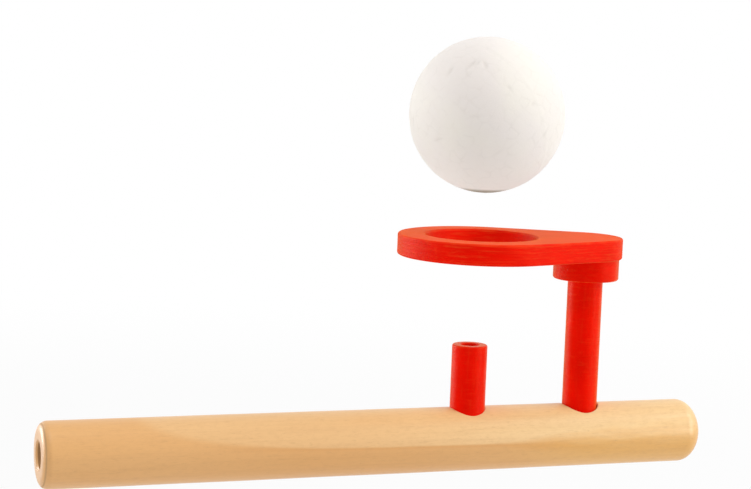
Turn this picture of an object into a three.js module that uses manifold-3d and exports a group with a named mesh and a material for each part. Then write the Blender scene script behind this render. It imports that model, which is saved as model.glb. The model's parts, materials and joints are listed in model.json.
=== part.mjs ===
// A blow ball pipe: a drilled wooden blow pipe, a nozzle peg, and a hoop on a post that holds a foam ball.
// A breath down the pipe leaves by the nozzle and lifts the ball out of the hoop.
// Millimetres, +Z up. The origin is the centre of the mouth end, on the pipe's axis. +X runs to the closed end.

import * as THREE from "three";
import { mergeVertices, toCreasedNormals } from "three/addons/utils/BufferGeometryUtils.js";
import Module from "manifold-3d";

const wasm = await Module();
wasm.setup();

// Blow pipe
const pipeDiameter = 14.5;
const pipeLength = 155;
const mouthRound = 2;
const endFlatDiameter = 1.5;
const endRoundLength = 4.8;

// Air way down the pipe, from the mouth to just past the nozzle
const boreDiameter = 6;
const boreMouthChamfer = 0.4;
const borePastNozzle = 2;
const drillPointShare = 0.6;

// Nozzle peg
const nozzleFromPost = 28;
const nozzleDiameter = 8;
const nozzleHoleDiameter = 4;
const nozzleHeight = 14.35;
const nozzleSocketIntoBore = 1.5;

// Post
const postFromEnd = 30;
const postDiameter = 8;
const woodUnderPost = 3.5;
const postIntoHoop = 2.5;

// Collar under the hoop
const collarDiameter = 15;
const collarThickness = 5;

// Foam ball, held up by a breath
const ballDiameter = 35;
const ballHeightAboveSeat = 15;

// Hoop, a flat teardrop with the ball's hole at its wide end
const hoopHeight = 34;
const hoopThickness = 4.8;
const hoopRimWidth = 6.25;
const hoopSeatWidth = 4.75;
const hoopShortOfNozzle = 2.75;
const hoopTipRadius = 10;
const hoopTipShortOfPost = 2;
const hoopTurnDegrees = -6.5;

// Edges and clearances
const edgeRound = 0.4;
const gluedClearance = 0.15;
const turningClearance = 0.3;
const footGap = 0.25;
const seatClearance = 0.3;
const cutOverrun = 2;

// Facets round each piece
const pipeFacets = 72;
const pegFacets = 48;
const collarFacets = 64;
const hoopFacets = 80;
const ballFacets = 52;
const ballRings = 28;
const mouthSteps = 4;
const endSteps = 9;
const edgeSteps = 2;

// Worked out from the sizes above
const pipeRadius = pipeDiameter / 2;
const boreRadius = boreDiameter / 2;
const ballRadius = ballDiameter / 2;
const postX = pipeLength - postFromEnd;
const nozzleX = postX - nozzleFromPost;
const nozzleTop = pipeRadius + nozzleHeight;
const nozzleSeat = boreRadius - nozzleSocketIntoBore;
const postSeat = woodUnderPost - pipeRadius;
const hoopUnderside = pipeRadius + hoopHeight;
const hoopTop = hoopUnderside + hoopThickness;
const hoopArm = nozzleFromPost - hoopShortOfNozzle;
const hoopHoleRadius = ballRadius - hoopSeatWidth;

// The ball rests on the rounded upper edge of the hole: this is where its centre is then.
const seatReach = ballRadius + edgeRound + seatClearance;
const seatEdgeRadius = hoopHoleRadius + edgeRound;
const ballSeat = hoopTop - edgeRound + Math.sqrt(seatReach ** 2 - seatEdgeRadius ** 2);

const varnishedWood = new THREE.MeshStandardMaterial({ color: 0xe3b782, roughness: 0.5, metalness: 0 });
const redPaint = new THREE.MeshStandardMaterial({ color: 0xee2412, roughness: 0.45, metalness: 0 });
const whiteFoam = new THREE.MeshStandardMaterial({ color: 0xf3efec, roughness: 0.9, metalness: 0 });

// Points along an arc, as [x, y] pairs.
function arc(centreX, centreY, radius, from, to, steps) {
  const points = [];
  for (let i = 0; i <= steps; i += 1) {
    const angle = from + ((to - from) * i) / steps;
    points.push([centreX + radius * Math.cos(angle), centreY + radius * Math.sin(angle)]);
  }
  return points;
}

function asVectors(points) {
  return points.map(([x, y]) => new THREE.Vector2(x, y));
}

// Turns [radius, height] corners about the Z axis. Outer walls run up, and inner walls run down.
function turned(profile, facets) {
  return new THREE.LatheGeometry(asVectors(profile), facets).rotateX(Math.PI / 2);
}

// A closed body whose triangles share their corners. Triangles that shrink to a line on the axis are dropped.
function toSolid(geometry) {
  const bare = geometry.clone();
  bare.deleteAttribute("normal");
  bare.deleteAttribute("uv");
  const merged = mergeVertices(bare);
  const corners = merged.index.array;
  const kept = [];
  for (let i = 0; i < corners.length; i += 3) {
    const [a, b, c] = [corners[i], corners[i + 1], corners[i + 2]];
    if (a !== b && b !== c && c !== a) kept.push(a, b, c);
  }
  const vertProperties = new Float32Array(merged.attributes.position.array);
  return new wasm.Manifold(new wasm.Mesh({ numProp: 3, vertProperties, triVerts: new Uint32Array(kept) }));
}

function toGeometry(solid) {
  const mesh = solid.getMesh();
  const geometry = new THREE.BufferGeometry();
  geometry.setAttribute("position", new THREE.BufferAttribute(mesh.vertProperties, mesh.numProp));
  geometry.setIndex(new THREE.BufferAttribute(mesh.triVerts, 1));
  return toCreasedNormals(geometry, Math.PI / 6);
}

// A round cut between two heights, about a vertical line through x on the XZ plane.
function roundCut(radius, bottom, top, x = 0) {
  const cut = new THREE.CylinderGeometry(radius, radius, top - bottom, pegFacets);
  return toSolid(cut.rotateX(Math.PI / 2).translate(x, 0, (bottom + top) / 2));
}

function piece(name, solid, material) {
  const mesh = new THREE.Mesh(toGeometry(solid), material);
  mesh.name = name;
  return mesh;
}

// The pipe with its rounded ends, its bore and the two sockets in its top.
function makePipe() {
  const boreEnd = nozzleX + nozzleDiameter / 2 + borePastNozzle;
  const endFlat = endFlatDiameter / 2;
  const endRound = pipeRadius - endFlat;
  const quarter = arc(0, 0, 1, 0, Math.PI / 2, endSteps);
  const closedEnd = quarter.map(([out, along]) => [
    endFlat + out * endRound,
    pipeLength - endRoundLength + along * endRoundLength,
  ]);
  const profile = [
    [0, boreEnd + boreRadius * drillPointShare],
    [boreRadius, boreEnd],
    [boreRadius, boreMouthChamfer],
    [boreRadius + boreMouthChamfer, 0],
    ...arc(pipeRadius - mouthRound, mouthRound, mouthRound, -Math.PI / 2, 0, mouthSteps),
    ...closedEnd,
    [0, pipeLength],
  ];
  const dowel = toSolid(turned(profile, pipeFacets).rotateY(Math.PI / 2));
  const cutTop = pipeRadius + cutOverrun;
  const nozzleSocket = roundCut(nozzleDiameter / 2 + gluedClearance, nozzleSeat, cutTop, nozzleX);
  const postSocket = roundCut(postDiameter / 2 + turningClearance, postSeat, cutTop, postX);
  return piece("wooden_pipe", dowel.subtract(nozzleSocket).subtract(postSocket), varnishedWood);
}

// The nozzle peg, with its air hole right through.
function makeNozzle() {
  const bottom = nozzleSeat + footGap;
  const outer = nozzleDiameter / 2;
  const inner = nozzleHoleDiameter / 2;
  const profile = [
    [inner, bottom],
    [outer - edgeRound, bottom],
    [outer, bottom + edgeRound],
    [outer, nozzleTop - edgeRound],
    [outer - edgeRound, nozzleTop],
    [inner + edgeRound, nozzleTop],
    [inner, nozzleTop - edgeRound],
    [inner, bottom],
  ];
  const nozzle = piece("nozzle_tube", toSolid(turned(profile, pegFacets)), redPaint);
  nozzle.position.x = nozzleX;
  return nozzle;
}

// The post, a plain dowel that stands in the pipe's socket and ends in the hoop.
function makePost() {
  const bottom = postSeat + footGap;
  const top = hoopUnderside + postIntoHoop - footGap;
  const outer = postDiameter / 2;
  const profile = [
    [0, bottom],
    [outer - edgeRound, bottom],
    [outer, bottom + edgeRound],
    [outer, top - edgeRound],
    [outer - edgeRound, top],
    [0, top],
  ];
  return piece("hoop_post", toSolid(turned(profile, pegFacets)), redPaint);
}

// The collar, a thick washer on the post that carries the hoop.
function makeCollar() {
  const bottom = hoopUnderside - collarThickness;
  const outer = collarDiameter / 2;
  const inner = postDiameter / 2 + gluedClearance;
  const profile = [
    [inner, bottom],
    ...arc(outer - edgeRound, bottom + edgeRound, edgeRound, -Math.PI / 2, 0, edgeSteps),
    ...arc(outer - edgeRound, hoopUnderside - edgeRound, edgeRound, 0, Math.PI / 2, edgeSteps),
    [inner, hoopUnderside],
    [inner, bottom],
  ];
  return piece("post_collar", toSolid(turned(profile, collarFacets)), redPaint);
}

// The hoop: a wide round end with the ball's hole, and straight sides that run to a narrower end over the post.
function makeHoop() {
  const outerRadius = hoopHoleRadius + hoopRimWidth;
  const side = Math.acos((outerRadius - hoopTipRadius) / (hoopArm - hoopTipShortOfPost));
  const wideSteps = Math.round(hoopFacets * (1 - side / Math.PI));
  const outline = [
    ...arc(-hoopArm, 0, outerRadius, side, 2 * Math.PI - side, wideSteps),
    ...arc(-hoopTipShortOfPost, 0, hoopTipRadius, -side, side, hoopFacets - wideSteps),
  ];
  const shape = new THREE.Shape(asVectors(outline));
  const hole = arc(-hoopArm, 0, hoopHoleRadius, 0, -2 * Math.PI, hoopFacets).slice(1);
  shape.holes.push(new THREE.Path(asVectors(hole)));
  const plate = new THREE.ExtrudeGeometry(shape, {
    depth: hoopThickness - 2 * edgeRound,
    bevelThickness: edgeRound,
    bevelSize: edgeRound,
    bevelOffset: -edgeRound,
    bevelSegments: edgeSteps,
  });
  plate.translate(0, 0, hoopUnderside + edgeRound);
  const postHoleRadius = postDiameter / 2 + gluedClearance;
  const postHole = roundCut(postHoleRadius, hoopUnderside - cutOverrun, hoopUnderside + postIntoHoop);
  return piece("ball_hoop", toSolid(plate).subtract(postHole), redPaint);
}

// The ball, blown up above the hole in the hoop.
function makeBall() {
  const sphere = new THREE.SphereGeometry(ballRadius, ballFacets, ballRings).rotateX(Math.PI / 2);
  const ball = piece("foam_ball", toSolid(sphere), whiteFoam);
  ball.position.set(-hoopArm, 0, ballSeat + ballHeightAboveSeat);
  return ball;
}

// The post, collar and hoop turn together in the pipe's socket, and the ball stays over the hole.
const hoopStand = new THREE.Group();
hoopStand.position.x = postX;
hoopStand.rotation.z = THREE.MathUtils.degToRad(hoopTurnDegrees);
hoopStand.add(makePost(), makeCollar(), makeHoop(), makeBall());

const blowBallPipe = new THREE.Group();
blowBallPipe.add(makePipe(), makeNozzle(), hoopStand);

export default blowBallPipe;
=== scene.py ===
"""A wooden blow pipe with a red nozzle peg, a red hoop on a post and a foam ball, and the studio round it.

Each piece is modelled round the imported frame, whose boxes give every place and outer size.
Lengths are in metres, and in millimetres inside the materials.
"""

import json
import math
import random

import bmesh
import bpy
import numpy as np
from bpy.props import FloatProperty, FloatVectorProperty, IntProperty, PointerProperty
from mathutils import Matrix, Quaternion, Vector, kdtree, noise


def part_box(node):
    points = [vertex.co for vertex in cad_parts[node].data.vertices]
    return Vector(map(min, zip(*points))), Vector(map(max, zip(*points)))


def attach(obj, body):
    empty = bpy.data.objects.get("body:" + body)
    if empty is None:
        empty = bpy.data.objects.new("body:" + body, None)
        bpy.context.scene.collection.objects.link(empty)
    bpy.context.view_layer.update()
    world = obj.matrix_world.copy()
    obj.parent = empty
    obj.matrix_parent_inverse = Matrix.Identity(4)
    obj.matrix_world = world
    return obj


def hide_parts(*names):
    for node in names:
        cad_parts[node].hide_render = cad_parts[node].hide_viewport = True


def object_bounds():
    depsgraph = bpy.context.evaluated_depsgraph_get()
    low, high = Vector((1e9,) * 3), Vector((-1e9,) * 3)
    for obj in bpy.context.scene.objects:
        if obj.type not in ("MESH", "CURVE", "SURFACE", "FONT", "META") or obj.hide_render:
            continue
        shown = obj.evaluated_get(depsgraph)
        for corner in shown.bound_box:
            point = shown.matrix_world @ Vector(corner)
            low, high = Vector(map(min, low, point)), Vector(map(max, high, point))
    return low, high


bl_info = {
    "name": "Blow ball pipe",
    "version": (1, 0, 0),
    "blender": (4, 5, 0),
    "location": "3D Viewport > Sidebar > Blow Ball Pipe",
    "description": "Models a wooden blow pipe with its hoop and foam ball, and a plain studio round it",
    "category": "Add Mesh",
}

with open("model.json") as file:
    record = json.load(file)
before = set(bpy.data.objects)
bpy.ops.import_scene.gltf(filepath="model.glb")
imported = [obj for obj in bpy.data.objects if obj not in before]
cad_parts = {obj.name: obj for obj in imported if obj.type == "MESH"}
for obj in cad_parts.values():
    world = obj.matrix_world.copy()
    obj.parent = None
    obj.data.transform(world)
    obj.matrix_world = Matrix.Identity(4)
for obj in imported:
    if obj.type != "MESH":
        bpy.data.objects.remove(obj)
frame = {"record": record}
cad_low, cad_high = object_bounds()

BODY_OF = {node: body for body, nodes in frame["record"]["behaviour"]["bodies"].items() for node in nodes}
QUARTER = math.pi / 2
MILLIMETRES = 1000

# In radians: the bend from which an edge wears, how much further it bends where it is worn in full, and the
# bend past which it is shaded sharp
WEAR_FROM = 0.08
WEAR_SPAN = 0.2
CREASE = math.radians(35)

# The pipe's mesh: about how long a face along it is, half the side of the fine square round each socket and
# how many faces lie along that square, the radii of the loops on the flat mouth, and a cutter's sides
FACE_LENGTH = 0.002
PATCH_HALF_SIDE = 0.0062
PATCH_CELLS = 16
MOUTH_LOOPS = (0.0043, 0.0025)
CUTTER_SIDES = 64

# Waves to the metre in the marks of hand sanding along the pipe, of sanding round a peg, and of the saw
SANDING_WAVES = 55
TURNING_WAVES = 900
SAW_WAVES = 2600

# How deep a scratch on the ball has to be for its painted shade to show in full
FULL_SCRATCH = 0.0001


def length(name, default, description):
    """A size that a user can change, in metres."""
    return FloatProperty(
        name=name, description=description, default=default, min=0, unit="LENGTH", precision=5
    )


def count(name, default, description):
    """How many faces a piece has round it."""
    return IntProperty(name=name, description=description, default=default, min=3)


def share(name, default, description):
    """A value from 0 to 1 that a user can change."""
    return FloatProperty(name=name, description=description, default=default, min=0, max=1, subtype="FACTOR")


def angle(name, default, description):
    """An angle that a user can change, given here in degrees."""
    return FloatProperty(name=name, description=description, default=math.radians(default), subtype="ANGLE")


def colour(name, default, description):
    """A colour that a user can change, in linear red, green and blue."""
    return FloatVectorProperty(
        name=name, description=description, default=default, size=3, min=0, max=1, subtype="COLOR"
    )


class PipeSizes(bpy.types.PropertyGroup):
    mouth_round: length("Mouth round", 0.002, "Rounding of the pipe's mouth end")
    end_flat: length("End flat", 0.0015, "Width of the flat left on the rounded closed end")
    end_length: length("End length", 0.0048, "How far along the pipe its closed end is rounded")
    bore: length("Bore", 0.006, "Diameter of the air way")
    bore_chamfer: length("Bore chamfer", 0.0004, "Chamfer where the air way opens at the mouth")
    bore_past_nozzle: length("Bore past nozzle", 0.002, "How far the air way runs on past the nozzle")
    drill_point: share("Drill point", 0.6, "Depth of the drill's point as a share of the bore's radius")
    socket_lip: length("Socket lip", 0.00018, "Rounding of the wood round each socket")
    nozzle_clearance: length("Nozzle clearance", 0.00004, "Glue line round the nozzle in its socket")
    post_clearance: length("Post clearance", 0.0003, "Gap round the post in its socket")
    foot_gap: length("Foot gap", 0.00025, "Gap under each peg in its socket")
    hand_sanding: length("Hand sanding", 0.00004, "How far sanding leaves the dowel out of true")
    sides: count("Sides", 144, "Faces round the pipe")


class PegSizes(bpy.types.PropertyGroup):
    air_hole: length("Air hole", 0.004, "Diameter of the hole down the nozzle")
    edge: length("Edge", 0.0004, "Rounding of the pegs' ends")
    collar_edge: length("Collar edge", 0.0005, "Rounding of the collar's edges")
    collar_clearance: length("Collar clearance", 0.00015, "Gap round the post in the collar and the hoop")
    turning_marks: length("Turning marks", 0.000015, "Depth of the marks that sanding leaves round a peg")
    sides: count("Sides", 112, "Faces round each peg")


class HoopSizes(bpy.types.PropertyGroup):
    rim_width: length("Rim width", 0.00625, "Wood between the hole and the wide end's edge")
    tip_radius: length("Tip radius", 0.010, "Radius of the narrower end")
    tip_short_of_post: length("Tip short of post", 0.002, "How far before the post that end's centre lies")
    edge: length("Edge", 0.00045, "Rounding of the hoop's edges")
    saw_marks: length("Saw marks", 0.00003, "Depth of the saw marks along the edge")
    sides: count("Sides", 288, "Faces round the hoop")


class BallSizes(bpy.types.PropertyGroup):
    bead: length("Bead", 0.0027, "Width of one bead of foam")
    bead_groove: length("Bead groove", 0.00002, "Depth of the grooves between beads")
    bead_swell: length("Bead swell", 0.00002, "How far single beads stand proud or sink")
    seam_width: length("Seam width", 0.0005, "Width of the ridge where the mould's halves met")
    seam_height: length("Seam height", 0.00005, "Height of that ridge")
    seed: IntProperty(name="Seed", description="Which random pattern the beads take", default=11)


class Colours(bpy.types.PropertyGroup):
    # This colour is partly the wood's own paler, yellower tone and partly painted light on the closed end
    # from the right.
    lit_sapwood: colour("Sapwood", (0.925, 0.635, 0.30), "The pipe's lighter wood, towards the closed end")
    midwood: colour("Middle wood", (0.83, 0.495, 0.21), "The pipe's lighter wood, towards the mouth")
    heartwood: colour("Heartwood", (0.76, 0.375, 0.112), "The pipe's darker wood")
    amberwood: colour("Amber wood", (0.82, 0.41, 0.085), "The darker wood's warmer tone at the closed end")
    latewood: colour("Latewood", (0.52, 0.24, 0.08), "Growth lines, pores and flecks")
    raw_wood: colour("Raw wood", (0.50, 0.30, 0.14), "Bare wood in the bore and the sockets")
    paint: colour("Paint", (0.92, 0.0012, 0.0004), "The red paint")
    paint_deep: colour("Deep paint", (0.80, 0.0008, 0.0003), "The paint where it lies thick in the grain")
    paint_worn: colour("Worn paint", (0.96, 0.12, 0.025), "The paint where it is thin over edges and fibres")
    paint_pore: colour("Paint in pores", (0.40, 0.008, 0.003), "The paint sunk in the pores of end grain")
    foam: colour("Foam", (0.90, 0.852, 0.788), "The ball's foam")
    foam_cool: colour("Cool foam", (0.885, 0.828, 0.788), "Patches of the foam with a pinker tone")
    # Foam grooves: painted shade that darkens the grooves between beads and the dents.
    foam_painted_shade: colour("Foam grooves", (0.70, 0.65, 0.60), "The foam between the beads and in its dents")
    # Ball's foot: a painted contact shadow, dark on the foam under the ball.
    foam_painted_shadow: colour("Ball's foot", (0.28, 0.25, 0.18), "The rubbed patch under the ball, where it lands")
    floor: colour("Floor", (0.88, 0.88, 0.88), "The floor's own colour")


class Studio(bpy.types.PropertyGroup):
    camera_place: FloatVectorProperty(
        name="Camera place",
        description="Where the camera stands",
        default=(-0.06854, -0.39445, 0.0929),
        size=3,
        subtype="TRANSLATION",
        unit="LENGTH",
    )
    camera_azimuth: angle("Camera azimuth", -19.8, "Turn of the camera round the upright axis")
    camera_elevation: angle("Camera elevation", 6.605, "How far the camera looks down")
    camera_roll: angle("Camera roll", 2.16, "Lean of the camera about its own view")
    lens: FloatProperty(name="Lens", description="Focal length in millimetres", default=91.87, min=1)
    floor_drop: length("Floor drop", 0.06, "How far the floor lies under the pipe")
    floor_size: length("Floor size", 6.0, "Width of the floor")
    ambient: FloatProperty(name="Ambient", description="Even light from all round", default=0.61, min=0)
    floor_glow: share("Floor glow", 0.8, "How much of the floor near the toy is seen as plain white")


class Toy(bpy.types.PropertyGroup):
    pipe: PointerProperty(type=PipeSizes)
    pegs: PointerProperty(type=PegSizes)
    hoop: PointerProperty(type=HoopSizes)
    ball: PointerProperty(type=BallSizes)
    colours: PointerProperty(type=Colours)
    studio: PointerProperty(type=Studio)


# Mesh building

class Skin:
    """The points and faces of one piece, gathered loop by loop."""

    def __init__(self):
        self.points = []
        self.faces = []

    def loop(self, points):
        first = len(self.points)
        self.points.extend(points)
        return list(range(first, len(self.points)))

    def strip(self, first, second):
        """Four-sided faces between two closed loops with as many points."""
        for i, j in zip(range(len(first)), [*range(1, len(first)), 0]):
            self.faces.append((first[i], first[j], second[j], second[i]))

    def loft(self, loops, closed=False):
        """Joins each loop of points to the next, and the last to the first where it is closed."""
        indices = [self.loop(points) for points in loops]
        for first, second in zip(indices, indices[1:]):
            self.strip(first, second)
        if closed:
            self.strip(indices[-1], indices[0])
        return indices

    def fan(self, loop, point):
        (tip,) = self.loop([point])
        for i, j in zip(range(len(loop)), [*range(1, len(loop)), 0]):
            self.faces.append((loop[i], loop[j], tip))

    def build(self, name):
        """The piece as an object, with its faces turned outwards."""
        mesh = bpy.data.meshes.new(name)
        mesh.from_pydata([tuple(point) for point in self.points], [], self.faces)
        form = bmesh.new()
        form.from_mesh(mesh)
        bmesh.ops.remove_doubles(form, verts=form.verts, dist=1e-7)
        bmesh.ops.recalc_face_normals(form, faces=form.faces)
        form.to_mesh(mesh)
        form.free()
        piece = bpy.data.objects.new(name, mesh)
        bpy.context.scene.collection.objects.link(piece)
        return piece


def quarter_round(centre, radius, start, steps):
    """Points on a quarter of a circle, from the start angle on, against the clock."""
    angles = [start + QUARTER * i / steps for i in range(steps + 1)]
    return [(centre[0] + radius * math.cos(a), centre[1] + radius * math.sin(a)) for a in angles]


def circle(centre, radius, sides, wave=0.0):
    """Points round an upright axis, with the radius changed by a smooth wave of that height."""
    points = []
    for i in range(sides):
        turn = 2 * math.pi * i / sides
        out = Vector((math.cos(turn), math.sin(turn), 0))
        place = centre + out * radius
        points.append(place + out * wave * noise.noise(place * TURNING_WAVES))
    return points


def turned(name, axis, profile, sides, wave=0.0, ring=False):
    """A piece turned about an upright axis from (radius, height) corners.

    A ring has a hole, and its profile closes on itself.
    """
    skin = Skin()
    loops = [circle(Vector((axis.x, axis.y, height)), radius, sides, wave) for radius, height in profile]
    indices = skin.loft(loops, closed=ring)
    if not ring:
        skin.fan(indices[0], (axis.x, axis.y, profile[0][1]))
        skin.fan(indices[-1], (axis.x, axis.y, profile[-1][1]))
    return skin.build(name)


def subtract(piece, cutter):
    """Cuts the cutter out of the piece and removes it."""
    modifier = piece.modifiers.new("cut", "BOOLEAN")
    modifier.operation = "DIFFERENCE"
    modifier.solver = "EXACT"
    modifier.object = cutter
    seen = piece.evaluated_get(bpy.context.evaluated_depsgraph_get())
    piece.data = bpy.data.meshes.new_from_object(seen)
    piece.modifiers.clear()
    bpy.data.objects.remove(cutter)


def mark_edges(piece):
    """Stores at each point how sharply the surface bends outwards there, from 0 to 1."""
    form = bmesh.new()
    form.from_mesh(piece.data)
    bends = [max(edge.calc_face_angle_signed(0) for edge in vert.link_edges) for vert in form.verts]
    form.free()
    wear = piece.data.attributes.new("wear", "FLOAT", "POINT")
    wear.data.foreach_set("value", [min(1, max(0, (bend - WEAR_FROM) / WEAR_SPAN)) for bend in bends])


def dress(piece, material, node):
    """Smooths the piece, paints it, and puts it in the place of its CAD node."""
    mark_edges(piece)
    piece.data.materials.clear()
    piece.data.materials.append(material)
    piece.data.shade_smooth()
    piece.data.set_sharp_from_angle(angle=CREASE)
    flats = piece.modifiers.new("level flats", "WEIGHTED_NORMAL")
    flats.keep_sharp = True
    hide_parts(node)
    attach(piece, BODY_OF[node])


def middle(node):
    """The centre of a CAD node's box."""
    low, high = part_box(node)
    return (low + high) / 2


def half_width(node):
    """Half of a CAD node's box across the pipe, which is the radius of a turned piece."""
    low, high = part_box(node)
    return (high.y - low.y) / 2


# Shader building

class Value:
    """A number from a socket, so that shader maths is written as plain arithmetic."""

    def __init__(self, paint, socket):
        self.paint = paint
        self.socket = socket

    def __add__(self, other):
        return self.paint.maths("ADD", self, other)

    def __sub__(self, other):
        return self.paint.maths("SUBTRACT", self, other)

    def __rsub__(self, other):
        return self.paint.maths("SUBTRACT", other, self)

    def __mul__(self, other):
        return self.paint.maths("MULTIPLY", self, other)

    def __truediv__(self, other):
        return self.paint.maths("DIVIDE", self, other)

    def __rtruediv__(self, other):
        return self.paint.maths("DIVIDE", other, self)

    def __pow__(self, other):
        return self.paint.maths("POWER", self, other)

    def __rpow__(self, other):
        return self.paint.maths("POWER", other, self)

    __radd__ = __add__
    __rmul__ = __mul__

    def part(self):
        """What is left of the number after its whole part."""
        return self.paint.maths("FRACT", self)

    def root(self):
        return self.paint.maths("SQRT", self)

    def step(self, low, high):
        """Rises smoothly from 0 at low to 1 at high, or falls where high is the smaller."""
        ends = {"Value": self, "From Min": low, "From Max": high, "To Min": 0.0, "To Max": 1.0}
        if low > high:
            ends.update({"From Min": high, "From Max": low, "To Min": 1.0, "To Max": 0.0})
        return self.paint.node("ShaderNodeMapRange", {"interpolation_type": "SMOOTHSTEP"}, ends)


class Paint:
    """The node tree of one material or of the world."""

    def __init__(self, owner):
        owner.use_nodes = True
        self.tree = owner.node_tree
        self.tree.nodes.clear()
        self.owner = owner

    def node(self, kind, settings=None, inputs=None, output=0):
        """Adds a node and returns one of its outputs. Its inputs are numbers, colours or other outputs."""
        made = self.tree.nodes.new(kind)
        for name, value in (settings or {}).items():
            setattr(made, name, value)
        for key, value in (inputs or {}).items():
            if isinstance(value, Value):
                self.tree.links.new(value.socket, made.inputs[key])
            else:
                made.inputs[key].default_value = value
        return Value(self, made.outputs[output]) if made.outputs else made

    def maths(self, operation, *values):
        return self.node("ShaderNodeMath", {"operation": operation}, dict(enumerate(values)))

    def millimetres(self, turn=0.0):
        """The piece's own coordinates in millimetres, turned about the upright axis."""
        place = self.node("ShaderNodeTexCoord", output="Object")
        inputs = {"Vector": place, "Rotation": (0, 0, turn), "Scale": (MILLIMETRES,) * 3}
        return self.node("ShaderNodeMapping", {"vector_type": "POINT"}, inputs)

    def split(self, vector):
        """The three parts of a vector."""
        first = self.node("ShaderNodeSeparateXYZ", inputs={"Vector": vector})
        return [Value(self, socket) for socket in first.socket.node.outputs]

    def grain(self, place, scale, detail=2.0, rough=0.5, warp=0.0):
        """Noise from 0 to 1 with that many waves to the millimetre along each axis."""
        stretched = self.node("ShaderNodeVectorMath", {"operation": "MULTIPLY"}, {0: place, 1: scale})
        inputs = {"Vector": stretched, "Scale": 1.0, "Detail": detail, "Roughness": rough, "Distortion": warp}
        return self.node("ShaderNodeTexNoise", inputs=inputs, output=0)

    def mix(self, factor, first, second):
        """A colour between two others, which the node takes in its sockets 6 and 7."""
        settings = {"data_type": "RGBA"}
        colours = [c if isinstance(c, Value) else (*c, 1.0) for c in (first, second)]
        inputs = {"Factor": factor, 6: colours[0], 7: colours[1]}
        return self.node("ShaderNodeMix", settings, inputs, output=2)

    def seen(self):
        """1 for a ray from the camera, a gloss or glass, and 0 for the rays that light matt surfaces."""
        camera = self.node("ShaderNodeLightPath", output="Is Camera Ray")
        outputs = camera.socket.node.outputs
        mirrored = Value(self, outputs["Is Glossy Ray"])
        through = Value(self, outputs["Is Transmission Ray"])
        return self.maths("MAXIMUM", camera, self.maths("MAXIMUM", mirrored, through))

    def bump(self, height, depth):
        """A normal from a height, of which 1 stands for that depth in metres."""
        return self.node("ShaderNodeBump", inputs={"Height": height, "Distance": depth, "Strength": 1.0})

    def surface(self, inputs):
        """Finishes a material with one principled shader."""
        shader = self.node("ShaderNodeBsdfPrincipled", inputs=inputs)
        self.node("ShaderNodeOutputMaterial", inputs={"Surface": shader})
        return self.owner


def varnished_wood(colours, sizes):
    """Pale dowel under a thin varnish: a darker zone, fibres and flecks along it, raw wood in its holes."""
    low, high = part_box("wooden_pipe")
    radius = (high.z - low.z) / 2 * MILLIMETRES
    end = high.x * MILLIMETRES
    wall = sizes.bore / 2 * MILLIMETRES
    paint = Paint(bpy.data.materials.new("varnished_wood"))
    place = paint.millimetres()
    x, y, z = paint.split(place)

    # The darker wood starts half way down the near side. It climbs towards the mouth, and at the closed end
    # its edge frays and blurs.
    towards_mouth = (31 - x) / 18
    climb = paint.maths("EXPONENT", towards_mouth)
    tail = x.step(98, 146)
    wander = (paint.grain(place, (0.03, 0.30, 0.30), detail=3) - 0.5) * 0.6
    fray = (paint.grain(place, (0.09, 0.8, 0.8), detail=2) - 0.5) * tail * 5
    edge = climb * 3.6 + (y + radius) * 0.2 + wander + fray + 0.05
    below = (edge + tail * 2.2 - z) / (tail * 13 + x.step(62, 28) * 2.0 + 1)
    strength = (x.step(20, 62) * 0.25 + 0.75) * (1 - tail * 0.15)
    dark = below.step(-0.25, 0.35) * strength
    seam = dark * below.step(0.9, 0.1) * x.step(30, 55)

    # Fainter growth lines lie round a heart far under the pipe.
    heart_aside = 6
    heart_down = 46
    ring_width = 2.9
    from_heart = ((y - heart_aside) ** 2 + (z + heart_down) ** 2).root()
    bend = paint.grain(place, (0.012, 0.06, 0.06), detail=1)
    ring = ((from_heart + bend * 5 - x * 0.006) / ring_width).part()
    line = ring.step(0.3, 0.93) * ring.step(1.0, 0.94)

    fibre = paint.grain(place, (0.06, 2.1, 2.1), detail=4, rough=0.6)
    broad = paint.grain(place, (0.02, 0.35, 0.35), detail=2)
    fleck = paint.grain(place, (0.42, 4.6, 4.6), detail=1).step(0.62, 0.72)
    pore = paint.grain(place, (1.1, 6.0, 6.0), detail=1).step(0.64, 0.72)
    mottle = paint.grain(place, (0.55, 1.3, 1.3), detail=3, rough=0.6)

    # Towards the closed end the wood is paler and yellower: partly its own tone, partly painted light from
    # the right.
    light = paint.mix(x.step(60, 145), colours.midwood, colours.lit_sapwood)
    heart = paint.mix(x.step(95, 130), colours.heartwood, colours.amberwood)
    base = paint.mix(dark * 0.7 + seam * 0.25 + broad * 0.2 - 0.08, light, heart)
    streaks = line * 0.04 + fibre.step(0.45, 0.75) * 0.09
    marks = streaks + mottle.step(0.42, 0.70) * 0.09 + fleck * 0.16 + pore * 0.14
    lined = paint.mix(marks, base, colours.latewood)
    ends = x.step(2.2, 0.0) + x.step(end - 3.0, end - 0.3)
    capped = paint.mix(ends * 0.16, lined, colours.latewood)

    # Bare wood shows in the sockets, which lie under the surface and clear of both ends, and in the air way.
    from_axis = (y * y + z * z).root()
    inside = from_axis.step(radius - 0.35, radius - 0.6) * x.step(0.3, 0.6) * x.step(end - 6.5, end - 7.0)
    drilled = from_axis.step(wall + 0.05, wall - 0.05) * x.step(end - 20, end - 21)
    bored = paint.maths("MAXIMUM", inside, drilled)
    shown = paint.mix(bored * 0.85, capped, colours.raw_wood)

    height = fibre * 0.6 + line * 0.2 - fleck * 0.3 - pore * 0.3
    return paint.surface({
        "Base Color": shown,
        "Roughness": fibre * 0.14 + bored * 0.3 + 0.38,
        "Normal": paint.bump(height, 0.000025),
        "Coat Weight": (1 - bored) * 0.32,
        "Coat Roughness": 0.28,
        "Specular IOR Level": 0.4,
    })


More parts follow.
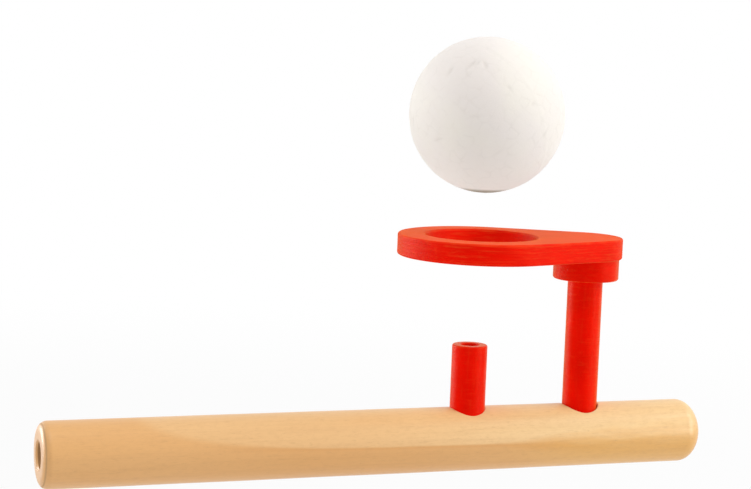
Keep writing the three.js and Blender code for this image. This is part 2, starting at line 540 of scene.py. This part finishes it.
# How the red paint lies on each piece. The grain is in waves to the millimetre along each axis, and so are
# the sanding marks, round and up the piece. Warmth is the green in the sheen's tint. The others are shares.
PAINT_LOOKS = {
    "nozzle": {
        "grain": (1.4, 1.4, 0.14), "marks_run": (0.35, 2.1), "marked": 0.08, "thinned": 0.0,
        "rough": 0.20, "gloss": 0.08, "sheen": 0.55, "warmth": 0.42,
    },
    "post": {
        "grain": (1.4, 1.4, 0.10), "marks_run": (0.35, 2.1), "marked": 0.08, "thinned": 0.0,
        "rough": 0.20, "gloss": 0.06, "sheen": 1.0, "warmth": 0.42,
    },
    "collar": {
        "grain": (0.3, 1.6, 1.6), "marks_run": (0.3, 2.4), "marked": 0.08, "thinned": 0.0,
        "rough": 0.26, "gloss": 0.06, "sheen": 0.8, "warmth": 0.40,
    },
    "hoop": {
        "grain": (0.07, 1.1, 1.8), "marks_run": (0.07, 2.6), "marked": 0.26, "thinned": 0.02,
        "rough": 0.4, "gloss": 0.07, "sheen": 0.7, "warmth": 0.27,
    },
}


def red_paint(colours, piece, turn=0.0):
    """Red paint on wood: sanding marks, streaks of fibre, pores in the end grain, and paler, worn edges."""
    look = PAINT_LOOKS[piece]
    fibre_axis = look["grain"].index(min(look["grain"]))
    marks_round, marks_up = look["marks_run"]
    paint = Paint(bpy.data.materials.new("red_paint_" + piece))
    place = paint.millimetres(turn)
    fibre = paint.grain(place, look["grain"], detail=2)
    sanding = paint.grain(place, (marks_round, marks_round, marks_up), detail=3, rough=0.65)
    soft = paint.grain(place, (0.12, 0.12, 0.12), detail=2)
    patch = paint.grain(place, (0.08, 0.08, 0.12), detail=1).step(0.42, 0.62)
    speck = paint.grain(place, (4.4, 4.4, 4.4), detail=1).step(0.62, 0.74)
    wear = paint.node("ShaderNodeAttribute", {"attribute_name": "wear"}, output="Fac")
    normal = paint.node("ShaderNodeTexCoord", output="Normal")
    turning = {"Vector": normal, "Rotation": (0, 0, turn)}
    facing = paint.split(paint.node("ShaderNodeMapping", {"vector_type": "VECTOR"}, turning))
    upward = facing[2]
    worn = wear * upward.step(-0.3, 0.2) * paint.grain(place, (0.3, 0.3, 0.3), detail=1).step(0.2, 0.7)
    end_grain = paint.maths("ABSOLUTE", facing[fibre_axis]).step(0.6, 0.95)
    pores = end_grain * paint.grain(place, (2.6, 2.6, 2.6), detail=2).step(0.50, 0.64)
    deep = paint.mix(soft.step(0.35, 0.65) * 0.7, colours.paint, colours.paint_deep)
    marks = sanding.step(0.48, 0.72) * (patch * 0.4 + 0.6) * look["marked"]
    streaks = fibre.step(0.50, 0.75) * look["marked"] * 0.5
    thin = streaks + marks + speck * 0.04 + worn * 0.26 + look["thinned"]
    coated = paint.mix(thin, deep, colours.paint_worn)
    shown = paint.mix(pores * 0.25, coated, colours.paint_pore)
    height = fibre * 0.3 + sanding * 1.8 + speck * 0.1 - pores * 0.35
    return paint.surface({
        "Base Color": shown,
        "Roughness": fibre * 0.10 + sanding * 0.10 + look["rough"],
        "Normal": paint.bump(height, 0.00007),
        "Specular IOR Level": look["gloss"],
        "Specular Tint": (1.0, 0.45, 0.12, 1.0),
        "Sheen Weight": look["sheen"],
        "Sheen Roughness": 0.4,
        "Sheen Tint": (1.0, look["warmth"], 0.03, 1.0),
    })


def white_foam(colours):
    """Matt foam: fine pitting, faint bead lines and scratches from the mesh with painted shade in them, and a
    painted shadow at its foot.
    """
    low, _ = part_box("foam_ball")
    foot = low.z * MILLIMETRES
    paint = Paint(bpy.data.materials.new("white_foam"))
    place = paint.millimetres()
    _, _, z = paint.split(place)
    groove = paint.node("ShaderNodeAttribute", {"attribute_name": "groove"}, output="Fac")
    scratch = paint.node("ShaderNodeAttribute", {"attribute_name": "scratch"}, output="Fac")
    pit = paint.grain(place, (2.6, 2.6, 2.6), detail=4, rough=0.6)
    cloud = paint.grain(place, (0.06, 0.06, 0.06), detail=2)
    patch = paint.grain(place, (0.35, 0.35, 0.35), detail=1).step(0.4, 0.7)
    tone = paint.mix(cloud.step(0.35, 0.65), colours.foam, colours.foam_cool)
    # Painted shade darkens the bead grooves and the dents, and the pitting adds a random darker tone.
    shade = groove * (patch * 0.18 + 0.02) + pit.step(0.55, 0.8) * 0.10 + scratch * 0.28
    shown = paint.mix(shade, tone, colours.foam_painted_shade)
    # Painted shadow: the foam darkens towards its lowest point, where a contact shadow would fall.
    shadowed = z.step(foot + 1.45, foot + 0.5)
    foot_shadowed = paint.mix(shadowed * 0.9, shown, colours.foam_painted_shadow)
    return paint.surface({
        "Base Color": foot_shadowed,
        "Roughness": pit * 0.12 + 0.62,
        "Normal": paint.bump(pit, 0.00005),
        "Specular IOR Level": 0.15,
        "Subsurface Weight": 0.5,
        "Subsurface Radius": (1.0, 1.0, 1.0),
        "Subsurface Scale": 0.005,
    })


# Pieces

class TOY_OT_pipe(bpy.types.Operator):
    """Models the blow pipe: a sanded dowel with rounded ends, two sockets and its bore"""

    bl_idname = "toy.pipe"
    bl_label = "Blow Pipe"

    def execute(self, context):
        toy = context.scene.toy
        sizes = toy.pipe
        low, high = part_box("wooden_pipe")
        radius = (high.z - low.z) / 2
        sides = sizes.sides
        patch_span = sides // 8
        pegs = [("nozzle_tube", sizes.nozzle_clearance), ("hoop_post", sizes.post_clearance)]
        centres = [middle(node).x for node, _ in pegs]

        def ring_point(x, r, turn):
            """A point round the pipe. Sanding by hand leaves slow waves along it."""
            out = Vector((0, math.sin(turn), math.cos(turn)))
            waver = noise.noise(Vector((x * SANDING_WAVES, out.y * 0.9, out.z * 0.9)))
            return Vector((x, 0, 0)) + out * (r + sizes.hand_sanding * waver * (r / radius))

        # Stations along the pipe, finer where a socket's patch lies.
        mouth = [
            (sizes.mouth_round - a, radius - sizes.mouth_round + b)
            for a, b in quarter_round((0, 0), sizes.mouth_round, 0, steps=8)
        ]
        end_round = radius - sizes.end_flat / 2
        dome = [
            (high.x + sizes.end_length * (b - 1), sizes.end_flat / 2 + end_round * a)
            for a, b in quarter_round((0, 0), 1, 0, steps=20)
        ]
        bounds = [mouth[-1][0]]
        for centre in centres:
            bounds += [centre - PATCH_HALF_SIDE, centre + PATCH_HALF_SIDE]
        bounds.append(dome[0][0])
        stations = list(mouth)
        patches = []
        for i, (start, stop) in enumerate(zip(bounds, bounds[1:])):
            in_patch = i % 2 == 1
            cells = PATCH_CELLS if in_patch else max(1, round((stop - start) / FACE_LENGTH))
            if in_patch:
                patches.append((len(stations) - 1, len(stations) - 1 + cells))
            stations += [(start + (stop - start) * k / cells, radius) for k in range(1, cells + 1)]
        stations += dome[1:]

        skin = Skin()
        turns = [2 * math.pi * j / sides for j in range(sides)]
        grid = [skin.loop([ring_point(x, r, turn) for turn in turns]) for x, r in stations]
        for k in range(len(stations) - 1):
            holed = any(first <= k < last for first, last in patches)
            for j in range(sides):
                near_top = j < patch_span or j >= sides - patch_span
                if not (holed and near_top):
                    after = (j + 1) % sides
                    skin.faces.append((grid[k][j], grid[k][after], grid[k + 1][after], grid[k + 1][j]))
        skin.fan(grid[-1], (high.x, 0, 0))
        inner = [skin.loop([ring_point(0, r, turn) for turn in turns]) for r in MOUTH_LOOPS]
        skin.strip(grid[0], inner[0])
        skin.strip(inner[0], inner[1])
        skin.fan(inner[1], (0, 0, 0))

        for (first, last), (node, clearance), centre in zip(patches, pegs, centres):
            spots = list(range(-patch_span, patch_span))
            rim = [grid[first][j] for j in spots]
            rim += [grid[k][patch_span] for k in range(first, last)]
            rim += [grid[last][-j] for j in spots]
            rim += [grid[k][-patch_span] for k in range(last, first, -1)]
            socket_radius = half_width(node) + clearance
            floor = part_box(node)[0].z - sizes.foot_gap
            self.socket(skin, rim, centre, socket_radius, floor, radius, sizes)

        piece = skin.build("dowel_pipe")
        self.bore(piece, toy, centres[0])
        dress(piece, varnished_wood(toy.colours, sizes), "wooden_pipe")
        return {"FINISHED"}

    def socket(self, skin, rim, centre, socket_radius, floor, radius, sizes):
        """Fills the gap inside the rim with a socket: a rounded lip, an upright wall and a floor."""
        lip = sizes.socket_lip
        outer = [skin.points[i] for i in rim]
        headings = [math.atan2(point.y, point.x - centre) for point in outer]

        def ragged(heading):
            """Where the cut edge lies: drilling leaves it a little uneven."""
            spot = Vector((math.cos(heading), math.sin(heading), centre * 50))
            return socket_radius + lip * 0.35 * noise.noise(spot * 2.4)

        def on_pipe(x, y):
            return Vector((x, y, math.sqrt(radius * radius - y * y)))

        loops = []
        for blend in (0.25, 0.5, 0.7, 0.86):
            ring = []
            for point, heading in zip(outer, headings):
                reach = ragged(heading) + lip
                near = Vector((centre + reach * math.cos(heading), reach * math.sin(heading)))
                flat = point.xy.lerp(near, blend)
                ring.append(on_pipe(flat.x, flat.y))
            loops.append(ring)
        for i in range(5):
            slope = QUARTER * i / 4
            ring = []
            for heading in headings:
                reach = ragged(heading) + lip * (1 - math.sin(slope))
                place = on_pipe(centre + reach * math.cos(heading), reach * math.sin(heading))
                ring.append(place - Vector((0, 0, lip * (1 - math.cos(slope)))))
            loops.append(ring)
        top = loops[-1]
        for sink in (0.15, 0.4, 0.7, 1.0):
            loops.append([Vector((p.x, p.y, p.z + (floor - p.z) * sink)) for p in top])
        made = skin.loft(loops)
        skin.strip(rim, made[0])
        skin.fan(made[-1], (centre, 0, floor))

    def bore(self, piece, toy, nozzle_x):
        """Drills the air way from the mouth to just past the nozzle."""
        sizes = toy.pipe
        wall = sizes.bore / 2
        stop = nozzle_x + half_width("nozzle_tube") + sizes.bore_past_nozzle
        start = -sizes.bore_chamfer
        profile = [(wall + 2 * sizes.bore_chamfer, start), (wall, sizes.bore_chamfer), (wall, stop)]
        skin = Skin()
        loops = [circle(Vector((0, 0, x)), r, CUTTER_SIDES) for r, x in profile]
        made = skin.loft(loops)
        skin.fan(made[0], (0, 0, start))
        skin.fan(made[-1], (0, 0, stop + wall * sizes.drill_point))
        cutter = skin.build("bore_cutter")
        cutter.data.transform(Matrix.Rotation(QUARTER, 4, "Y"))
        subtract(piece, cutter)


class TOY_OT_nozzle(bpy.types.Operator):
    """Models the nozzle peg with its air hole"""

    bl_idname = "toy.nozzle"
    bl_label = "Nozzle Peg"

    def execute(self, context):
        toy = context.scene.toy
        low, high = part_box("nozzle_tube")
        outer = half_width("nozzle_tube")
        inner = toy.pegs.air_hole / 2
        edge = toy.pegs.edge
        profile = [(inner, low.z), *quarter_round((outer - edge, low.z + edge), edge, -QUARTER, steps=4)]
        rise = high.z - low.z - 2 * edge
        profile += [(outer, low.z + edge + rise * i / 14) for i in range(1, 14)]
        profile += quarter_round((outer - edge, high.z - edge), edge, 0, steps=6)
        profile += quarter_round((inner + edge, high.z - edge), edge, QUARTER, steps=6)
        profile += [(inner, high.z - edge - rise * i / 6) for i in range(1, 6)]
        axis = middle("nozzle_tube")
        piece = turned("nozzle_peg", axis, profile, toy.pegs.sides, toy.pegs.turning_marks, ring=True)
        dress(piece, red_paint(toy.colours, "nozzle"), "nozzle_tube")
        return {"FINISHED"}


class TOY_OT_post(bpy.types.Operator):
    """Models the post that carries the hoop"""

    bl_idname = "toy.post"
    bl_label = "Post"

    def execute(self, context):
        toy = context.scene.toy
        low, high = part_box("hoop_post")
        outer = half_width("hoop_post")
        edge = toy.pegs.edge
        rise = high.z - low.z - 2 * edge
        profile = [(outer - 3 * edge, low.z)]
        profile += quarter_round((outer - edge, low.z + edge), edge, -QUARTER, steps=4)
        profile += [(outer, low.z + edge + rise * i / 30) for i in range(1, 30)]
        profile += quarter_round((outer - edge, high.z - edge), edge, 0, steps=4)
        profile.append((outer - 3 * edge, high.z))
        piece = turned("post_peg", middle("hoop_post"), profile, toy.pegs.sides, toy.pegs.turning_marks)
        dress(piece, red_paint(toy.colours, "post"), "hoop_post")
        return {"FINISHED"}


class TOY_OT_collar(bpy.types.Operator):
    """Models the collar under the hoop"""

    bl_idname = "toy.collar"
    bl_label = "Collar"

    def execute(self, context):
        toy = context.scene.toy
        low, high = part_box("post_collar")
        outer = half_width("post_collar")
        inner = half_width("hoop_post") + toy.pegs.collar_clearance
        edge = toy.pegs.collar_edge
        rise = high.z - low.z - 2 * edge
        profile = [(inner, low.z), ((inner + outer) / 2, low.z)]
        profile += quarter_round((outer - edge, low.z + edge), edge, -QUARTER, steps=6)
        profile += [(outer, low.z + edge + rise * i / 6) for i in range(1, 7)]
        profile += quarter_round((outer - edge / 2, high.z - edge / 2), edge / 2, 0, steps=4)
        profile += [((inner + outer) / 2, high.z), (inner, high.z)]
        axis = middle("hoop_post")
        piece = turned("collar_disc", axis, profile, toy.pegs.sides, toy.pegs.turning_marks, ring=True)
        dress(piece, red_paint(toy.colours, "collar"), "post_collar")
        return {"FINISHED"}


class TOY_OT_hoop(bpy.types.Operator):
    """Models the teardrop hoop that the ball sits in"""

    bl_idname = "toy.hoop"
    bl_label = "Hoop"

    def execute(self, context):
        toy = context.scene.toy
        sizes = toy.hoop
        low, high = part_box("ball_hoop")
        post = middle("hoop_post").xy
        hole = middle("foam_ball").xy
        arm = post - hole
        wide = half_width("ball_hoop")
        hole_radius = wide - sizes.rim_width
        tip = post - arm.normalized() * sizes.tip_short_of_post
        heading = math.atan2(arm.y, arm.x)
        side = math.acos((wide - sizes.tip_radius) / (tip - hole).length)

        def outline(t):
            """The teardrop's edge and the way out from it, at a share t of the way round."""
            arcs = [(hole, wide, side, 2 * math.pi - side), (tip, sizes.tip_radius, -side, side)]
            flat = (tip - hole).length * math.sin(side)
            spans = [wide * 2 * (math.pi - side), flat, sizes.tip_radius * 2 * side, flat]
            far = t * sum(spans)
            for i, span in enumerate(spans):
                if far <= span or i == 3:
                    break
                far -= span
            if i % 2 == 0:
                centre, radius, start, stop = arcs[i // 2]
                turn = heading + start + (stop - start) * far / span
                out = Vector((math.cos(turn), math.sin(turn)))
                return centre + out * radius, out
            turn = heading + (-side if i == 1 else side)
            out = Vector((math.cos(turn), math.sin(turn)))
            ends = (hole + out * wide, tip + out * sizes.tip_radius)
            share_along = far / span if i == 1 else 1 - far / span
            return ends[0].lerp(ends[1], share_along), out

        rim = [outline(i / sizes.sides) for i in range(sizes.sides)]
        directions = [(point - hole).normalized() for point, _ in rim]
        edge = sizes.edge
        rise = high.z - low.z - 2 * edge

        def around(sink, z, wall=0.0):
            """The outer edge, drawn in by sink. Saw marks run level along it, so they change with height."""
            loop = []
            for point, out in rim:
                mark = wall * noise.noise(Vector((point.x * 120, point.y * 120, z * SAW_WAVES)))
                loop.append(Vector((*(point - out * (sink + mark)), z)))
            return loop

        def inside(sink, z, wall=0.0):
            """The hole's edge, drawn outwards by sink."""
            loop = []
            for way in directions:
                mark = wall * noise.noise(Vector((way.x * 2, way.y * 2, z * SAW_WAVES)))
                loop.append(Vector((*(hole + way * (hole_radius + sink + mark)), z)))
            return loop

        def between(blend, z):
            """A loop part of the way over a face, from the hole's edge to the outer one."""
            return [a.lerp(b, blend) for a, b in zip(inside(edge, z), around(edge, z))]

        rounds = [(i / 5) * QUARTER for i in range(6)]
        walls = [low.z + edge + rise * i / 20 for i in range(1, 20)]
        loops = [around(edge * (1 - math.sin(a)), low.z + edge * (1 - math.cos(a))) for a in rounds]
        loops += [around(0, z, sizes.saw_marks) for z in walls]
        loops += [around(edge * (1 - math.cos(a)), high.z - edge * (1 - math.sin(a))) for a in rounds]
        loops += [between(blend, high.z) for blend in (0.85, 0.6, 0.4, 0.15)]
        loops += [inside(edge * (1 - math.sin(a)), high.z - edge * (1 - math.cos(a))) for a in rounds]
        loops += [inside(0, z, sizes.saw_marks) for z in reversed(walls)]
        loops += [inside(edge * (1 - math.cos(a)), low.z + edge * (1 - math.sin(a))) for a in rounds]
        loops += [between(blend, low.z) for blend in (0.15, 0.4, 0.6, 0.85)]
        skin = Skin()
        skin.loft(loops, closed=True)
        piece = skin.build("teardrop_hoop")

        reach = half_width("hoop_post") + toy.pegs.collar_clearance
        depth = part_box("hoop_post")[1].z + toy.pipe.foot_gap
        socket = [(reach, low.z - edge), (reach, depth)]
        subtract(piece, turned("post_cutter", middle("hoop_post"), socket, CUTTER_SIDES))
        dress(piece, red_paint(toy.colours, "hoop", turn=-heading), "ball_hoop")
        # The hoop throws no red light up at the white ball.
        piece.visible_diffuse = False
        return {"FINISHED"}


class TOY_OT_ball(bpy.types.Operator):
    """Models the foam ball: pressed beads, a mould seam and a few dents"""

    bl_idname = "toy.ball"
    bl_label = "Foam Ball"

    def execute(self, context):
        toy = context.scene.toy
        sizes = toy.ball
        centre = middle("foam_ball")
        radius = half_width("foam_ball")
        mesh = bpy.data.meshes.new("foam_ball_beads")
        form = bmesh.new()
        bmesh.ops.create_icosphere(form, subdivisions=7, radius=1)
        form.to_mesh(mesh)
        form.free()
        ways = np.zeros(len(mesh.vertices) * 3)
        mesh.vertices.foreach_get("co", ways)
        ways = ways.reshape(-1, 3)
        ways /= np.linalg.norm(ways, axis=1)[:, None]

        sink, groove = self.beads(ways, radius, sizes)
        seam_sink = self.seam(ways, radius, sizes)
        dent_sink = self.dents(ways, radius)
        reach = radius - sink + seam_sink - dent_sink
        places = ways * reach[:, None] + np.array(centre)
        mesh.vertices.foreach_set("co", places.ravel())
        shade = mesh.attributes.new("groove", "FLOAT", "POINT")
        shade.data.foreach_set("value", groove)
        scratch = mesh.attributes.new("scratch", "FLOAT", "POINT")
        scratch.data.foreach_set("value", np.clip(dent_sink / FULL_SCRATCH, 0, 1))
        piece = bpy.data.objects.new("foam_ball_beads", mesh)
        context.scene.collection.objects.link(piece)
        dress(piece, white_foam(toy.colours), "foam_ball")
        piece.modifiers.clear()
        return {"FINISHED"}

    def beads(self, ways, radius, sizes):
        """How far each point sinks between the beads, and how deep in a groove it lies from 0 to 1.

        Each bead stands a little off its even place. That jog and the groove's width are shares of a bead.
        """
        crowding = 1.15
        jog_share = 0.32
        groove_share = 0.11
        draw = random.Random(sizes.seed)
        total = round(4 * math.pi * (radius / sizes.bead) ** 2 * crowding)
        golden = math.pi * (3 - math.sqrt(5))
        tree = kdtree.KDTree(total)
        swell = []
        for i in range(total):
            height = 1 - 2 * (i + 0.5) / total
            ring = math.sqrt(1 - height * height)
            spot = Vector((ring * math.cos(golden * i), ring * math.sin(golden * i), height))
            jog = Vector((draw.uniform(-1, 1), draw.uniform(-1, 1), draw.uniform(-1, 1)))
            tree.insert((spot + jog * jog_share * sizes.bead / radius).normalized(), i)
            swell.append(draw.uniform(-1, 1))
        tree.balance()
        sink = np.zeros(len(ways))
        groove = np.zeros(len(ways))
        for k, way in enumerate(ways):
            (_, bead, near), (_, _, far) = tree.find_n(way, 2)
            gap = (far - near) * radius
            groove[k] = math.exp(-((gap / (sizes.bead * groove_share)) ** 2))
            sink[k] = sizes.bead_groove * groove[k] + sizes.bead_swell * swell[bead] * (1 - groove[k])
        return sink, groove

    def seam(self, ways, radius, sizes):
        """The low ridge where the two halves of the mould met."""
        across = Vector((0.86, 0.34, 0.38)).normalized()
        off = (ways @ np.array(across)) * radius / sizes.seam_width
        return sizes.seam_height * np.exp(-(off ** 2))

    def dents(self, ways, radius):
        """How far each point sinks in a scratch or dent.

        A mark is (heading, height, lean, half length, half width, depth) in degrees and millimetres.
        """
        marks = [
            (-130, 40, 60, 1.3, 0.30, 0.22),
            (-124, 42, 60, 0.9, 0.25, 0.14),
            (-117, 41, -70, 1.0, 0.30, 0.16),
            (-148, 34, 80, 1.2, 0.45, 0.12),
            (-96, 22, -60, 1.0, 0.25, 0.10),
            (-78, 11, 30, 0.5, 0.40, 0.12),
            (-121, 1, 10, 1.6, 0.30, 0.06),
            (-151, -17, 15, 1.2, 0.30, 0.12),
            (-134, 12, 80, 1.0, 0.35, 0.05),
            (-103, -25, 40, 1.2, 0.30, 0.06),
            (-65, -10, 60, 1.0, 0.30, 0.08),
            (-20, 25, 20, 1.4, 0.9, 0.14),
            (15, -18, 70, 1.4, 0.3, 0.12),
            (60, 40, 35, 1.2, 0.8, 0.12),
            (85, 5, -30, 1.6, 0.4, 0.12),
            (120, -25, 10, 1.3, 0.5, 0.12),
            (150, 30, 55, 1.3, 0.9, 0.14),
            (178, -5, 80, 1.2, 0.3, 0.10),
        ]
        total = np.zeros(len(ways))
        for heading, height, lean, half_length, half_breadth, depth in marks:
            a, b, c = (math.radians(turn) for turn in (heading, height, lean))
            way = np.array((math.cos(a) * math.cos(b), math.sin(a) * math.cos(b), math.sin(b)))
            east = np.array((-math.sin(a), math.cos(a), 0))
            north = np.cross(way, east)
            along = (ways @ (east * math.cos(c) + north * math.sin(c))) * radius * MILLIMETRES / half_length
            across = (ways @ (north * math.cos(c) - east * math.sin(c))) * radius * MILLIMETRES / half_breadth
            total += (ways @ way > 0) * depth / MILLIMETRES * np.exp(-(along ** 2) - across ** 2)
        return total


class TOY_OT_studio(bpy.types.Operator):
    """Sets the camera, the lamps, the world and the floor"""

    bl_idname = "toy.studio"
    bl_label = "Studio"

    def execute(self, context):
        studio = context.scene.toy.studio
        self.camera(context, studio)
        self.lamps(context)
        self.world(context, studio)
        self.floor(context, studio, context.scene.toy.colours)
        context.scene.view_settings.view_transform = "Standard"
        return {"FINISHED"}

    def camera(self, context, studio):
        data = bpy.data.cameras.new("camera")
        data.sensor_width = 36
        data.lens = studio.lens
        data.clip_start = 0.01
        data.clip_end = 20
        camera = bpy.data.objects.new("camera", data)
        context.scene.collection.objects.link(camera)
        level = math.cos(studio.camera_elevation)
        back = Vector((
            math.sin(studio.camera_azimuth) * level,
            -math.cos(studio.camera_azimuth) * level,
            math.sin(studio.camera_elevation),
        ))
        camera.location = studio.camera_place
        camera.rotation_mode = "QUATERNION"
        upright = (-back).to_track_quat("-Z", "Y")
        camera.rotation_quaternion = Quaternion(back, studio.camera_roll) @ upright
        context.scene.camera = camera

    def lamps(self, context):
        """Soft boxes: (name, place, width, height, watts, whether matt surfaces catch it).

        The two strips are caught by glosses only. They draw the bright bands down the red pegs.
        """
        boxes = [
            ("right_box", (0.76, -0.30, 0.49), 0.4, 0.6, 3.4, True),
            ("left_box", (-0.53, 0.40, 0.05), 0.25, 0.20, 1.2, True),
            ("top_box", (-0.16, -0.14, 0.76), 0.6, 0.5, 1.6, True),
            ("left_strip", (-0.40, 0.58, 0.10), 0.15, 0.5, 3.4, False),
            ("right_strip", (0.65, -0.51, 0.06), 0.35, 0.4, 3.0, False),
        ]
        aim = Vector((0.10, 0.0, 0.04))
        for name, place, width, height, watts, matt in boxes:
            data = bpy.data.lights.new(name, "AREA")
            data.shape = "RECTANGLE"
            data.size = width
            data.size_y = height
            data.energy = watts
            lamp = bpy.data.objects.new(name, data)
            context.scene.collection.objects.link(lamp)
            lamp.visible_diffuse = matt
            lamp.location = place
            lamp.rotation_mode = "QUATERNION"
            lamp.rotation_quaternion = (aim - Vector(place)).to_track_quat("-Z", "Y")

    def world(self, context, studio):
        """White where it is seen or mirrored, and even light on matt surfaces."""
        world = bpy.data.worlds.new("studio")
        paint = Paint(world)
        seen = paint.seen()
        strength = seen + (1 - seen) * studio.ambient
        light = paint.node("ShaderNodeBackground", inputs={"Color": (1, 1, 1, 1), "Strength": strength})
        paint.node("ShaderNodeOutputWorld", inputs={"Surface": light})
        context.scene.world = world

    def floor(self, context, studio, colours):
        """A wide floor, white where it is seen but for a faint shadow near the toy, and clear from below."""
        mesh = bpy.data.meshes.new("floor")
        half = studio.floor_size / 2
        level = cad_low.z - studio.floor_drop
        corners = [(-half, -half, level), (half, -half, level), (half, half, level), (-half, half, level)]
        mesh.from_pydata(corners, [], [(0, 1, 2, 3)])
        floor = bpy.data.objects.new("floor", mesh)
        context.scene.collection.objects.link(floor)
        paint = Paint(bpy.data.materials.new("pale_floor"))
        x, y, _ = paint.split(paint.node("ShaderNodeTexCoord", output="Object"))
        far = (x * x + y * y).root().step(0.18, 0.7)
        matt = paint.node("ShaderNodeBsdfDiffuse", inputs={"Color": (*colours.floor, 1)})
        glow = paint.node("ShaderNodeEmission", inputs={"Color": (1, 1, 1, 1), "Strength": 1.0})
        factor = paint.seen() * (far * (1 - studio.floor_glow) + studio.floor_glow)
        both = paint.node("ShaderNodeMixShader", inputs={0: factor, 1: matt, 2: glow})
        under = paint.node("ShaderNodeNewGeometry", output="Backfacing")
        clear = paint.node("ShaderNodeBsdfTransparent")
        sided = paint.node("ShaderNodeMixShader", inputs={0: under, 1: both, 2: clear})
        paint.node("ShaderNodeOutputMaterial", inputs={"Surface": sided})
        mesh.materials.append(paint.owner)


class TOY_PT_panel(bpy.types.Panel):
    """Lists the pieces and their sizes in the sidebar"""

    bl_idname = "TOY_PT_panel"
    bl_label = "Blow Ball Pipe"
    bl_space_type = "VIEW_3D"
    bl_region_type = "UI"
    bl_category = "Blow Ball Pipe"

    def draw(self, context):
        toy = context.scene.toy
        rows = [
            ("toy.studio", toy.studio),
            ("toy.pipe", toy.pipe),
            ("toy.nozzle", toy.pegs),
            ("toy.post", None),
            ("toy.collar", None),
            ("toy.hoop", toy.hoop),
            ("toy.ball", toy.ball),
            (None, toy.colours),
        ]
        for operator, sizes in rows:
            box = self.layout.box()
            if operator:
                box.operator(operator)
            for name in sizes.__annotations__ if sizes else ():
                box.prop(sizes, name)


CLASSES = (
    PipeSizes,
    PegSizes,
    HoopSizes,
    BallSizes,
    Colours,
    Studio,
    Toy,
    TOY_OT_pipe,
    TOY_OT_nozzle,
    TOY_OT_post,
    TOY_OT_collar,
    TOY_OT_hoop,
    TOY_OT_ball,
    TOY_OT_studio,
    TOY_PT_panel,
)


def register():
    for kind in CLASSES:
        bpy.utils.register_class(kind)
    bpy.types.Scene.toy = PointerProperty(type=Toy)


def unregister():
    del bpy.types.Scene.toy
    for kind in reversed(CLASSES):
        bpy.utils.unregister_class(kind)


def main():
    """Builds the whole scene."""
    register()
    bpy.ops.toy.studio()
    bpy.ops.toy.pipe()
    bpy.ops.toy.nozzle()
    bpy.ops.toy.post()
    bpy.ops.toy.collar()
    bpy.ops.toy.hoop()
    bpy.ops.toy.ball()


if __name__ == "__main__":
    main()
